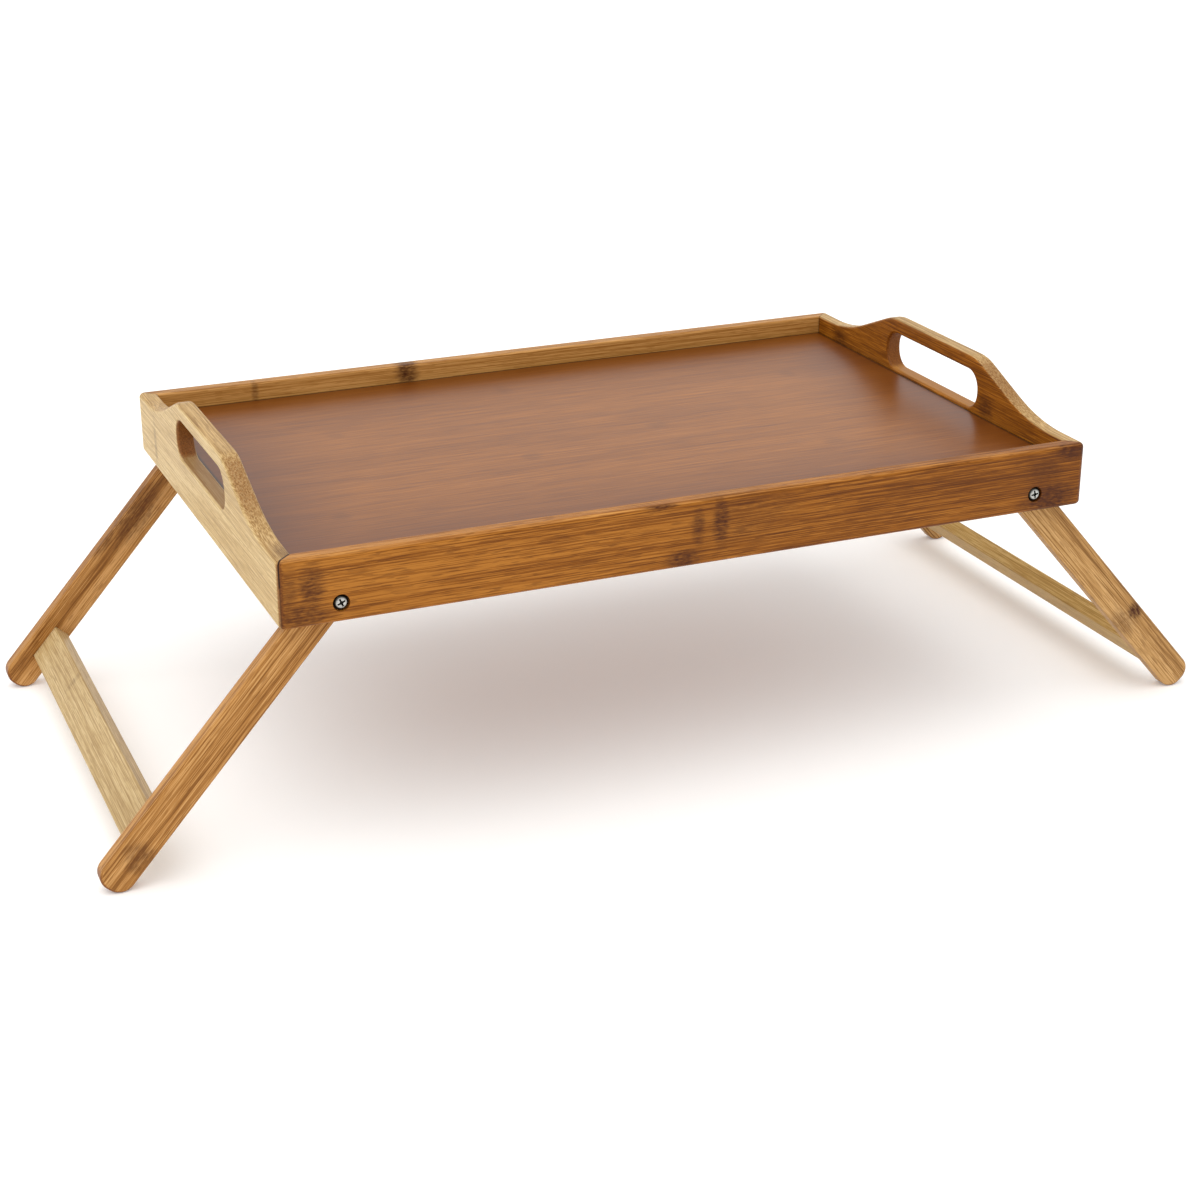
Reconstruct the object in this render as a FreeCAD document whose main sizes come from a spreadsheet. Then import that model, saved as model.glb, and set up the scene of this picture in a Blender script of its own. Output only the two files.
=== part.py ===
"""Folding tray table: a bamboo tray on two leg frames that fold flat into its underside.

Millimetres, +Z up. X runs along the tray, Y from its front (-Y) to its back, and the origin is on
the ground under the middle of the tray. Every sub-part is modelled in a frame of its own that
suits it, and its Placement puts it where it belongs with the legs open.
"""
import FreeCAD
import Part
import Sketcher

import math
import os

# Driving dimensions: name, value, meaning.
DIMENSIONS = (
    ("tray_length", 500, "tray, outside, end to end"),
    ("tray_depth", 327, "tray, outside, front to back"),
    ("rail_height", 39, "front and back rails, and the low corners of the ends"),
    ("rail_thickness", 10.5, "all four boards of the tray"),
    ("corner_round", 4, "upright corners of the tray"),
    ("top_outer_round", 3, "outer top edge of the boards"),
    ("top_inner_round", 1.5, "inner top edge of the boards"),
    ("bottom_round", 2.5, "outer bottom edge of the boards"),
    ("low_corner", 23.5, "end boards' straight low top, from the tray's corner to the curve"),
    ("shoulder_angle", 22, "slope from the handle down to the corner, in degrees"),
    ("shoulder_round", 38, "convex curve at the handle's ends"),
    ("shoulder_cove", 130, "concave curve where the slope meets the low corner"),
    ("handle_bar", 9.8, "handle's bar, above the hand hole"),
    ("grip_height", 24.5, "hand hole, upright"),
    ("grip_past_flat", 10.5, "hand hole past each end of the handle's straight top"),
    ("grip_side", 1.5, "hand hole, straight part of its ends"),
    ("grip_edge_round", 1.8, "eased edge of the hand hole"),
    ("grip_above_floor", 2, "from the tray floor up to the hand hole"),
    ("panel_thickness", 5, "floor panel"),
    ("panel_tongue", 3, "thinner edge of the floor panel, level with its underside"),
    ("panel_groove", 4, "depth of the groove that holds the floor panel's edge"),
    ("panel_gap", 0.5, "room for the floor panel to swell in its groove"),
    ("panel_seam", 0.3, "gap round the floor panel's top face"),
    ("spline_thickness", 2.5, "loose tongue glued across each mitre"),
    ("spline_width", 8, "tongue, across the mitre"),
    ("spline_gap", 0.15, "glue gap at the tongue's ends"),
    ("spline_base", 3, "from the boards' bottom edge up to the tongue"),
    ("spline_to_panel", 1.5, "from the tongue up to the floor panel's groove"),
    ("spline_inset", 0.75, "tongue's middle past the middle of the mitre, towards the inside"),
    ("leg_width", 20.5, "leg, across its broad face"),
    ("leg_thickness", 11, "leg, along the pivot"),
    ("leg_round", 2, "eased long edges of the leg"),
    ("foot_flat", 2.5, "foot, straight part between its rounded corners"),
    ("tuck_below", 0.75, "folded leg to the boards' bottom edge"),
    ("tuck_above", 1.25, "folded leg to the floor panel's underside"),
    ("stop_gap", 0.1, "open leg to the edge of the end board that stops it"),
    ("pivot_inset", 34, "pivot to the tray's end"),
    ("tip_to_centre", 15, "folded foot to the middle of the tray"),
    ("stretcher_width", 24, "stretcher, along the leg"),
    ("stretcher_thickness", 10.5, "stretcher, across the leg"),
    ("stretcher_round", 1.2, "eased long edges of the stretcher"),
    ("stretcher_to_foot", 22, "stretcher's lower edge to the tip of the foot"),
    ("stretcher_inset", 1.75, "stretcher's inner face to the leg's inner edge"),
    ("stretcher_housing", 5, "depth that the stretcher is let into each leg"),
    ("housing_gap", 0.3, "end of the stretcher to the bottom of its housing"),
    ("screw_diameter", 5, "pivot screw, shank"),
    ("screw_fit", 0.05, "running clearance on radius, screw in rail and leg"),
    ("head_diameter", 8.2, "pivot screw, head"),
    ("head_height", 2.4, "pivot screw, crown to seat"),
    ("head_rim", 1.1, "pivot screw, straight rim of the head"),
    ("recess_margin", 0.7, "round recess past the head, on radius"),
    ("recess_depth", 2.2, "recess, from the rail's outer face"),
    ("cross_length", 4.4, "cross slot in the head, tip to tip"),
    ("cross_width", 1.1, "cross slot, each arm"),
    ("cross_depth", 1.5, "cross slot, from the crown"),
    ("spacer_thickness", 2, "washer between rail and leg"),
    ("spacer_diameter", 13, "washer between rail and leg"),
    ("washer_thickness", 1, "washer under the nut"),
    ("washer_diameter", 10, "washer under the nut"),
    ("washer_fit", 0.1, "clearance on radius, screw in washers"),
    ("nut_flats", 8, "lock nut, across flats"),
    ("nut_height", 3.6, "lock nut, hexagon"),
    ("collar_height", 1.2, "lock nut, round collar"),
    ("collar_diameter", 7.2, "lock nut, round collar"),
    ("nut_fit", 0.02, "clearance on radius, screw in nut"),
    ("screw_end", 1, "screw past the nut"),
)

# Places worked out from the driving dimensions, as expressions over the sheet.
PIVOT_RISE = "(dims.leg_width / 2 + dims.tuck_below)"
PANEL_UNDERSIDE = f"({PIVOT_RISE} + dims.leg_width / 2 + dims.tuck_above)"
GRIP_BASE = f"({PANEL_UNDERSIDE} + dims.panel_thickness + dims.grip_above_floor)"
HANDLE_HEIGHT = f"({GRIP_BASE} + dims.grip_height + dims.handle_bar)"
SHOULDER_ANGLE = "dims.shoulder_angle * 1 deg"
SHOULDER_ROUNDS = "(dims.shoulder_cove + dims.shoulder_round)"
SHOULDER_RUN = (
    f"({SHOULDER_ROUNDS} * sin({SHOULDER_ANGLE}) + ({HANDLE_HEIGHT} - dims.rail_height"
    f" - {SHOULDER_ROUNDS} * (1 - cos({SHOULDER_ANGLE}))) / tan({SHOULDER_ANGLE}))"
)
HANDLE_FLAT = f"(dims.tray_depth - 2 * (dims.low_corner + {SHOULDER_RUN}))"
GRIP_LENGTH = f"({HANDLE_FLAT} + 2 * dims.grip_past_flat)"
GRIP_CORNER = "((dims.grip_height - dims.grip_side) / 2)"
SPLINE_HEIGHT = f"({PANEL_UNDERSIDE} - dims.spline_to_panel - dims.spline_base)"
SPLINE_INSET = "(dims.rail_thickness / 2 + dims.spline_inset)"
STOP_RUN = "(dims.pivot_inset - dims.rail_thickness)"
STOP_REACH = f"hypot({STOP_RUN}; {PIVOT_RISE})"
LEG_ANGLE = f"(acos((dims.leg_width / 2 + dims.stop_gap) / {STOP_REACH}) - atan({PIVOT_RISE} / {STOP_RUN}))"
LEG_REACH = "(dims.tray_length / 2 - dims.pivot_inset - dims.tip_to_centre)"
FOOT_ROUND = "((dims.leg_width - dims.foot_flat) / 2)"
FOOT_DROP = (
    f"(({LEG_REACH} - {FOOT_ROUND}) * cos({LEG_ANGLE})"
    f" + dims.foot_flat / 2 * sin({LEG_ANGLE}) + {FOOT_ROUND})"
)
TRAY_BASE = f"({FOOT_DROP} - {PIVOT_RISE})"
PIVOT_X = "(dims.tray_length / 2 - dims.pivot_inset)"
LEG_FACE = "(dims.rail_thickness + dims.spacer_thickness)"
LEG_INNER = f"({LEG_FACE} + dims.leg_thickness)"
LEG_Y = f"(dims.tray_depth / 2 - {LEG_FACE} - dims.leg_thickness / 2)"
STRETCHER_SPAN = f"(dims.tray_depth - 2 * {LEG_INNER} + 2 * dims.stretcher_housing - 2 * dims.housing_gap)"
STRETCHER_LOW = f"({LEG_REACH} - dims.stretcher_to_foot)"
STRETCHER_OUTER = "(dims.stretcher_thickness + dims.stretcher_inset - dims.leg_width / 2)"
RECESS_RADIUS = "(dims.head_diameter / 2 + dims.recess_margin)"
NUT_SEAT = f"({LEG_INNER} + dims.washer_thickness)"
SCREW_TIP = f"({NUT_SEAT} + dims.nut_height + dims.collar_height + dims.screw_end)"

TINY = 1e-4
BEYOND = 2.0
START, END, CENTRE = 1, 2, 3
X_AXIS, Y_AXIS = -1, -2

doc = FreeCAD.newDocument("folding_tray_table")
sheet = doc.addObject("Spreadsheet::Sheet", "dims")


def fill_sheet():
    """Write the driving dimensions into the sheet, one aliased cell each."""
    for row, (alias, size, meaning) in enumerate(DIMENSIONS, start=1):
        sheet.set(f"A{row}", alias)
        sheet.set(f"B{row}", str(size))
        sheet.set(f"C{row}", meaning)
        sheet.setAlias(f"B{row}", alias)
    doc.recompute()


def number(expression):
    """Give an expression's present value, in millimetres or degrees."""
    value = sheet.evalExpression(expression)
    return float(getattr(value, "Value", value))


def point(x, y):
    return FreeCAD.Vector(x, y, 0)


def new_body(label):
    body = doc.addObject("PartDesign::Body", label)
    body.Label = label
    return body


def new_sketch(body, role, lift=None):
    """Attach a sketch to one of the body's own origin planes, or parallel to it at a height."""
    plane = next(item for item in body.Origin.OriginFeatures if item.Role == role)
    sketch = body.newObject("Sketcher::SketchObject", f"{body.Label}_sketch")
    sketch.AttachmentSupport = [(plane, "")]
    sketch.MapMode = "FlatFace"
    if lift:
        sketch.setExpression("AttachmentOffset.Base.z", lift)
    return sketch


def relate(sketch, kind, *references):
    sketch.addConstraint(Sketcher.Constraint(kind, *references))


def dimension(sketch, kind, *references, size):
    """Add a driving constraint whose value follows the sheet."""
    index = sketch.addConstraint(Sketcher.Constraint(kind, *references, number(size)))
    sketch.setExpression(f"Constraints[{index}]", size)


def angle(sketch, line, size):
    """Set a line's direction from the sketch's horizontal axis, in degrees."""
    index = sketch.addConstraint(Sketcher.Constraint("Angle", line, math.radians(number(size))))
    sketch.setExpression(f"Constraints[{index}]", size)


def line(sketch, start, end):
    return sketch.addGeometry(Part.LineSegment(point(*start), point(*end)))


def arc(sketch, centre, radius, first, last):
    """Add an arc that runs anticlockwise from the first to the last direction, in degrees."""
    circle = Part.Circle(point(*centre), FreeCAD.Vector(0, 0, 1), radius)
    return sketch.addGeometry(Part.ArcOfCircle(circle, math.radians(first), math.radians(last)))


def circle_at(sketch, x, y, radius):
    """Add a circle whose centre and radius follow the sheet; x is on the positive side."""
    geometry = Part.Circle(point(number(x), number(y)), FreeCAD.Vector(0, 0, 1), number(radius))
    index = sketch.addGeometry(geometry)
    if number(x):
        dimension(sketch, "DistanceX", X_AXIS, START, index, CENTRE, size=x)
    else:
        relate(sketch, "PointOnObject", index, CENTRE, Y_AXIS)
    if number(y):
        dimension(sketch, "DistanceY", X_AXIS, START, index, CENTRE, size=y)
    else:
        relate(sketch, "PointOnObject", index, CENTRE, X_AXIS)
    dimension(sketch, "Radius", index, size=radius)
    return index


def rectangle(sketch, left, bottom, right, top):
    """Add an upright rectangle whose four sides follow the sheet."""
    x0, y0, x1, y1 = (number(side) for side in (left, bottom, right, top))
    corners = [(x0, y0), (x1, y0), (x1, y1), (x0, y1)]
    sides = [line(sketch, corners[i], corners[(i + 1) % 4]) for i in range(4)]
    for i in range(4):
        relate(sketch, "Coincident", sides[i], END, sides[(i + 1) % 4], START)
        relate(sketch, "Vertical" if i % 2 else "Horizontal", sides[i])
    for kind, place, side, end in (
        ("DistanceX", left, sides[0], START),
        ("DistanceY", bottom, sides[0], START),
        ("DistanceX", right, sides[2], START),
        ("DistanceY", top, sides[2], START),
    ):
        dimension(sketch, kind, X_AXIS, START, side, end, size=place)


def solve(sketch):
    """Stop if a sketch can't hold its constraints."""
    if sketch.solve() != 0:
        raise RuntimeError(f"{sketch.Label} doesn't solve")


def pad(body, sketch, length, reverse=False, both_ways=False):
    solve(sketch)
    feature = body.newObject("PartDesign::Pad", f"{body.Label}_pad")
    feature.Profile = sketch
    feature.SideType = "Symmetric" if both_ways else "One side"
    feature.Reversed = reverse
    feature.setExpression("Length", length)
    doc.recompute()
    return feature


def pocket(body, sketch, depth=None, reverse=False, both_ways=False):
    """Cut a sketch out of the body, to a depth or right through, and make sure that it cut."""
    solve(sketch)
    before = body.Shape.Volume
    feature = body.newObject("PartDesign::Pocket", f"{body.Label}_pocket")
    feature.Profile = sketch
    feature.SideType = "Symmetric" if both_ways else "One side"
    feature.Reversed = reverse
    if depth:
        feature.setExpression("Length", depth)
    else:
        feature.Type = "ThroughAll"
    doc.recompute()
    if body.Shape.Volume > before - TINY:
        raise RuntimeError(f"{feature.Label} cuts nothing")
    return feature


def fillet(body, base, radius, chosen):
    """Round every edge of a feature that the test chooses."""
    names = [f"Edge{i}" for i, edge in enumerate(base.Shape.Edges, start=1) if chosen(edge)]
    feature = body.newObject("PartDesign::Fillet", f"{body.Label}_fillet")
    feature.Base = (base, names)
    feature.setExpression("Radius", radius)
    doc.recompute()
    return feature


def all_points(edge, test):
    """Tell whether both ends and the middle of an edge pass a test."""
    middle = edge.valueAt((edge.FirstParameter + edge.LastParameter) / 2)
    return all(test(place) for place in [vertex.Point for vertex in edge.Vertexes] + [middle])


# ---------------------------------------------------------------- tray boards
# A board lies along X with its outer face at Y = 0, its inner face at +Y and its bottom at Z = 0.


def straight_outline(sketch, length):
    """Side view of a rail: a plain rectangle."""
    rectangle(sketch, f"-({length}) / 2", "0", f"({length}) / 2", "dims.rail_height")


def handle_outline(sketch, length):
    """Side view of an end board: low corners that sweep up in an S to a straight handle."""
    half, low, high = number(length) / 2, number("dims.rail_height"), number(HANDLE_HEIGHT)
    slope = number("dims.shoulder_angle")
    cove, shoulder = number("dims.shoulder_cove"), number("dims.shoulder_round")
    rad = math.radians(slope)
    flat = number(HANDLE_FLAT) / 2
    upper = (flat + shoulder * math.sin(rad), high - shoulder * (1 - math.cos(rad)))
    lower_z = low + cove * (1 - math.cos(rad))
    lower = (upper[0] + (upper[1] - lower_z) / math.tan(rad), lower_z)
    foot = lower[0] + cove * math.sin(rad)

    bottom = line(sketch, (-half, 0), (half, 0))
    right = line(sketch, (half, 0), (half, low))
    right_low = line(sketch, (half, low), (foot, low))
    right_cove = arc(sketch, (foot, low + cove), cove, 270 - slope, 270)
    right_slope = line(sketch, lower, upper)
    right_round = arc(sketch, (flat, high - shoulder), shoulder, 90 - slope, 90)
    top = line(sketch, (flat, high), (-flat, high))
    left_round = arc(sketch, (-flat, high - shoulder), shoulder, 90, 90 + slope)
    left_slope = line(sketch, (-upper[0], upper[1]), (-lower[0], lower[1]))
    left_cove = arc(sketch, (-foot, low + cove), cove, 270, 270 + slope)
    left_low = line(sketch, (-foot, low), (-half, low))
    left = line(sketch, (-half, low), (-half, 0))

    for first, first_end, second, second_end in (
        (bottom, END, right, START),
        (right, END, right_low, START),
        (left_low, END, left, START),
        (left, END, bottom, START),
    ):
        relate(sketch, "Coincident", first, first_end, second, second_end)
    for first, first_end, second, second_end in (
        (right_low, END, right_cove, END),
        (right_cove, START, right_slope, START),
        (right_slope, END, right_round, START),
        (right_round, END, top, START),
        (top, END, left_round, START),
        (left_round, END, left_slope, START),
        (left_slope, END, left_cove, END),
        (left_cove, START, left_low, START),
    ):
        relate(sketch, "Tangent", first, first_end, second, second_end)
    relate(sketch, "Horizontal", right_low)
    relate(sketch, "Vertical", right)
    relate(sketch, "PointOnObject", bottom, START, X_AXIS)
    relate(sketch, "Symmetric", bottom, START, bottom, END, Y_AXIS)
    relate(sketch, "Symmetric", right, END, left, START, Y_AXIS)
    relate(sketch, "Symmetric", top, START, top, END, Y_AXIS)
    relate(sketch, "Symmetric", right_slope, START, left_slope, END, Y_AXIS)
    relate(sketch, "Equal", right_round, left_round)
    dimension(sketch, "DistanceX", bottom, START, bottom, END, size=length)
    dimension(sketch, "DistanceY", X_AXIS, START, right, END, size="dims.rail_height")
    dimension(sketch, "DistanceY", X_AXIS, START, top, START, size=HANDLE_HEIGHT)
    dimension(sketch, "DistanceX", right_low, END, right_low, START, size="dims.low_corner")
    dimension(sketch, "Radius", right_round, size="dims.shoulder_round")
    dimension(sketch, "Radius", right_cove, size="dims.shoulder_cove")
    angle(sketch, right_slope, f"180 deg - {SHOULDER_ANGLE}")


def corner_waste(sketch, length, side):
    """Plan of what comes off one end of a board: the mitre, and the rounded upright corner."""
    half, thick, round_ = number(length) / 2, number("dims.rail_thickness"), number("dims.corner_round")
    eighth = math.sqrt(0.5)
    mitre = (side * (half - round_ * (1 - eighth)), round_ * (1 - eighth))
    inner = (side * (half - thick - BEYOND), thick + BEYOND)
    outer_x = side * (half + BEYOND)
    directions = (270, 315) if side > 0 else (225, 270)
    tangent, meeting = (START, END) if side > 0 else (END, START)

    corner = arc(sketch, (side * (half - round_), round_), round_, *directions)
    cut = line(sketch, mitre, inner)
    back = line(sketch, inner, (outer_x, thick + BEYOND))
    outside = line(sketch, (outer_x, thick + BEYOND), (outer_x, 0))
    face = line(sketch, (outer_x, 0), (side * (half - round_), 0))
    relate(sketch, "Coincident", corner, meeting, cut, START)
    relate(sketch, "Coincident", cut, END, back, START)
    relate(sketch, "Coincident", back, END, outside, START)
    relate(sketch, "Coincident", outside, END, face, START)
    relate(sketch, "Tangent", face, END, corner, tangent)
    relate(sketch, "Horizontal", back)
    relate(sketch, "Vertical", outside)
    relate(sketch, "PointOnObject", face, START, X_AXIS)
    relate(sketch, "PointOnObject", face, END, X_AXIS)
    relate(sketch, "PointOnObject", corner, CENTRE, cut)
    dimension(sketch, "Radius", corner, size="dims.corner_round")
    dimension(sketch, "DistanceY", X_AXIS, START, back, END, size=f"dims.rail_thickness + {BEYOND}")
    centre_x = f"({length}) / 2 - dims.corner_round"
    far_x = f"({length}) / 2 + {BEYOND}"
    if side > 0:
        angle(sketch, cut, "135 deg")
        dimension(sketch, "DistanceX", X_AXIS, START, corner, CENTRE, size=centre_x)
        dimension(sketch, "DistanceX", X_AXIS, START, outside, END, size=far_x)
    else:
        angle(sketch, cut, "45 deg")
        dimension(sketch, "DistanceX", corner, CENTRE, X_AXIS, START, size=centre_x)
        dimension(sketch, "DistanceX", outside, END, X_AXIS, START, size=far_x)


def spline_slot(sketch, length, side):
    """Plan of the slot for a loose tongue, square across the mitre at one end of a board."""
    half = number(length) / 2
    inset = number(SPLINE_INSET)
    along = number("dims.spline_width / 2 + dims.spline_gap") * math.sqrt(0.5)
    across = number("dims.spline_thickness / 2") * math.sqrt(0.5)
    middle_x, middle_y = half - inset, inset
    corners = [
        (side * (middle_x - along + across), middle_y - along - across),
        (side * (middle_x + along + across), middle_y + along - across),
        (side * (middle_x + along - across), middle_y + along + across),
        (side * (middle_x - along - across), middle_y - along + across),
    ]
    sides = [line(sketch, corners[i], corners[(i + 1) % 4]) for i in range(4)]
    middle = sketch.addGeometry(Part.Point(point(side * middle_x, middle_y)), True)
    for i in range(4):
        relate(sketch, "Coincident", sides[i], END, sides[(i + 1) % 4], START)
    relate(sketch, "Parallel", sides[0], sides[2])
    relate(sketch, "Parallel", sides[1], sides[3])
    relate(sketch, "Perpendicular", sides[0], sides[1])
    relate(sketch, "Symmetric", sides[0], START, sides[1], END, middle, START)
    angle(sketch, sides[0], "45 deg" if side > 0 else "135 deg")
    slot_length = "dims.spline_width + 2 * dims.spline_gap"
    dimension(sketch, "Distance", sides[0], START, sides[0], END, size=slot_length)
    dimension(sketch, "Distance", sides[1], START, sides[1], END, size="dims.spline_thickness")
    if side > 0:
        dimension(sketch, "DistanceX", X_AXIS, START, middle, START, size=f"({length}) / 2 - {SPLINE_INSET}")
    else:
        dimension(sketch, "DistanceX", middle, START, X_AXIS, START, size=f"({length}) / 2 - {SPLINE_INSET}")
    dimension(sketch, "DistanceY", X_AXIS, START, middle, START, size=SPLINE_INSET)


def board(label, length, outline):
    """One side of the tray, mitred at both ends, eased outside and grooved for floor and tongues."""
    body = new_body(label)
    side_view = new_sketch(body, "XZ_Plane")
    outline(side_view, length)
    pad(body, side_view, "dims.rail_thickness", reverse=True)
    for side in (-1, 1):
        plan = new_sketch(body, "XY_Plane")
        corner_waste(plan, length, side)
        shaped = pocket(body, plan, both_ways=True)

    outer_reach = number("dims.corner_round") * (1 - math.sqrt(0.5)) + TINY
    inner_face = number("dims.rail_thickness") - TINY
    low_top = number("dims.rail_height") - TINY

    def on_outer_top(edge):
        return all_points(edge, lambda place: place.y < outer_reach and place.z > low_top)

    def on_inner_top(edge):
        return all_points(edge, lambda place: place.y > inner_face and place.z > low_top)

    def on_outer_bottom(edge):
        return all_points(edge, lambda place: place.y < outer_reach and place.z < TINY)

    shaped = fillet(body, shaped, "dims.top_outer_round", on_outer_top)
    shaped = fillet(body, shaped, "dims.top_inner_round", on_inner_top)
    fillet(body, shaped, "dims.bottom_round", on_outer_bottom)

    groove = new_sketch(body, "YZ_Plane")
    rectangle(
        groove,
        "dims.rail_thickness - dims.panel_groove",
        PANEL_UNDERSIDE,
        f"dims.rail_thickness + {BEYOND}",
        f"{PANEL_UNDERSIDE} + dims.panel_tongue",
    )
    pocket(body, groove, both_ways=True)
    for side in (-1, 1):
        slot = new_sketch(body, "XY_Plane", lift="dims.spline_base")
        spline_slot(slot, length, side)
        pocket(body, slot, depth=SPLINE_HEIGHT, reverse=True)
    return body


def rail(label):
    """Front or back rail, with a recessed hole near each end for a pivot screw."""
    body = board(label, "dims.tray_length", straight_outline)
    for radius, depth in (
        ("dims.screw_diameter / 2 + dims.screw_fit", None),
        (RECESS_RADIUS, "dims.recess_depth"),
    ):
        holes = new_sketch(body, "XZ_Plane")
        first = circle_at(holes, PIVOT_X, PIVOT_RISE, radius)
        middle = holes.getPoint(first, CENTRE)
        mirrored = Part.Circle(point(-middle.x, middle.y), FreeCAD.Vector(0, 0, 1), number(radius))
        second = holes.addGeometry(mirrored)
        relate(holes, "Equal", first, second)
        relate(holes, "Symmetric", first, CENTRE, second, CENTRE, Y_AXIS)
        pocket(body, holes, depth=depth)
    return body


def end_board(label):
    """Handle board, with a hand hole whose edges are eased on both faces."""
    body = board(label, "dims.tray_depth", handle_outline)
    half = number(GRIP_LENGTH) / 2
    base, height = number(GRIP_BASE), number("dims.grip_height")
    corner = number(GRIP_CORNER)
    hole = new_sketch(body, "XZ_Plane")
    bottom = line(hole, (corner - half, base), (half - corner, base))
    low_right = arc(hole, (half - corner, base + corner), corner, 270, 360)
    right = line(hole, (half, base + corner), (half, base + height - corner))
    high_right = arc(hole, (half - corner, base + height - corner), corner, 0, 90)
    top = line(hole, (half - corner, base + height), (corner - half, base + height))
    high_left = arc(hole, (corner - half, base + height - corner), corner, 90, 180)
    left = line(hole, (-half, base + height - corner), (-half, base + corner))
    low_left = arc(hole, (corner - half, base + corner), corner, 180, 270)
    chain = [bottom, low_right, right, high_right, top, high_left, left, low_left]
    for first, second in zip(chain, chain[1:] + chain[:1]):
        relate(hole, "Tangent", first, END, second, START)
    for quarter in (high_right, high_left, low_left):
        relate(hole, "Equal", low_right, quarter)
    relate(hole, "Vertical", right)
    relate(hole, "Symmetric", bottom, START, bottom, END, Y_AXIS)
    dimension(hole, "Radius", low_right, size=GRIP_CORNER)
    dimension(hole, "DistanceX", left, START, right, END, size=GRIP_LENGTH)
    dimension(hole, "DistanceY", bottom, END, top, START, size="dims.grip_height")
    dimension(hole, "DistanceY", X_AXIS, START, bottom, START, size=GRIP_BASE)
    opened = pocket(body, hole)

    inner_face = number("dims.rail_thickness") - TINY

    def in_hole(place):
        inside = abs(place.x) < half + TINY and base - TINY < place.z < base + height + TINY
        return inside and (place.y < TINY or place.y > inner_face)

    fillet(body, opened, "dims.grip_edge_round", lambda edge: all_points(edge, in_hole))
    return body


def floor_panel(label):
    """Tray floor: a thin edge held in the boards' grooves, and a full-thickness field inside them."""
    body = new_body(label)
    for past_face, thickness in (
        ("dims.panel_groove - dims.panel_gap", "dims.panel_tongue"),
        ("-dims.panel_seam", "dims.panel_thickness"),
    ):
        plan = new_sketch(body, "XY_Plane")
        half_length = f"(dims.tray_length / 2 - dims.rail_thickness + ({past_face}))"
        half_depth = f"(dims.tray_depth / 2 - dims.rail_thickness + ({past_face}))"
        rectangle(plan, f"-{half_length}", f"-{half_depth}", half_length, half_depth)
        pad(body, plan, thickness)
    return body


def mitre_spline(label):
    """Loose tongue glued across a mitre, hidden inside the two boards."""
    spline = doc.addObject("Part::Box", label)
    spline.Label = label
    spline.setExpression("Length", "dims.spline_width")
    spline.setExpression("Width", "dims.spline_thickness")
    spline.setExpression("Height", SPLINE_HEIGHT)
    return spline


# ---------------------------------------------------------------- leg frames
# A leg hangs down -Z from its pivot at the origin. Its broad faces look along Y, and +X is the
# side of the tray's right end.


def leg(label, outward, inward_y):
    """Leg with a round top, a rounded foot, a pivot hole and a housing for the stretcher."""
    body = new_body(label)
    half, foot = number("dims.leg_width / 2"), number(FOOT_ROUND)
    reach = number(LEG_REACH)
    outline = new_sketch(body, "XZ_Plane")
    head = arc(outline, (0, 0), half, 0, 180)
    left = line(outline, (-half, 0), (-half, foot - reach))
    left_foot = arc(outline, (foot - half, foot - reach), foot, 180, 270)
    tip = line(outline, (foot - half, -reach), (half - foot, -reach))
    right_foot = arc(outline, (half - foot, foot - reach), foot, 270, 360)
    right = line(outline, (half, foot - reach), (half, 0))
    chain = [head, left, left_foot, tip, right_foot, right]
    for first, second in zip(chain, chain[1:] + chain[:1]):
        relate(outline, "Tangent", first, END, second, START)
    relate(outline, "Coincident", head, CENTRE, X_AXIS, START)
    relate(outline, "Vertical", right)
    relate(outline, "Horizontal", tip)
    relate(outline, "Equal", left_foot, right_foot)
    dimension(outline, "Radius", head, size="dims.leg_width / 2")
    dimension(outline, "Radius", left_foot, size=FOOT_ROUND)
    dimension(outline, "DistanceY", tip, END, X_AXIS, START, size=LEG_REACH)
    blank = pad(body, outline, "dims.leg_thickness", both_ways=True)

    face = number("dims.leg_thickness / 2") - TINY
    fillet(body, blank, "dims.leg_round", lambda edge: all_points(edge, lambda place: abs(place.y) > face))

    hole = new_sketch(body, "XZ_Plane")
    circle_at(hole, "0", "0", "dims.screw_diameter / 2 + dims.screw_fit")
    pocket(body, hole, both_ways=True)

    housing = new_sketch(body, "XZ_Plane", lift=f"{-inward_y} * dims.leg_thickness / 2")
    section_rectangle(housing, outward)
    pocket(body, housing, depth="dims.stretcher_housing", reverse=inward_y > 0)
    return body


def section_rectangle(sketch, outward):
    """Cross-section of a stretcher, where it stands on the leg's broad face."""
    near, far = STRETCHER_OUTER, f"dims.stretcher_thickness - {STRETCHER_OUTER}"
    left, right = (f"-({far})", near) if outward > 0 else (f"-{near}", far)
    rectangle(sketch, left, f"-{STRETCHER_LOW}", right, f"-({STRETCHER_LOW} - dims.stretcher_width)")


def stretcher(label, outward):
    """Bar between the two legs of a frame, let into both."""
    body = new_body(label)
    section = new_sketch(body, "XZ_Plane")
    section_rectangle(section, outward)
    bar = pad(body, section, STRETCHER_SPAN, both_ways=True)
    fillet(body, bar, "dims.stretcher_round", lambda edge: edge.Length > number(STRETCHER_SPAN) - TINY)
    return body


# ---------------------------------------------------------------- pivot hardware
# Each piece stands on the pivot's axis, which is its own Y axis, with the rail's outer face at
# Y = 0 and the inside of the tray at +Y.


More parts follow.
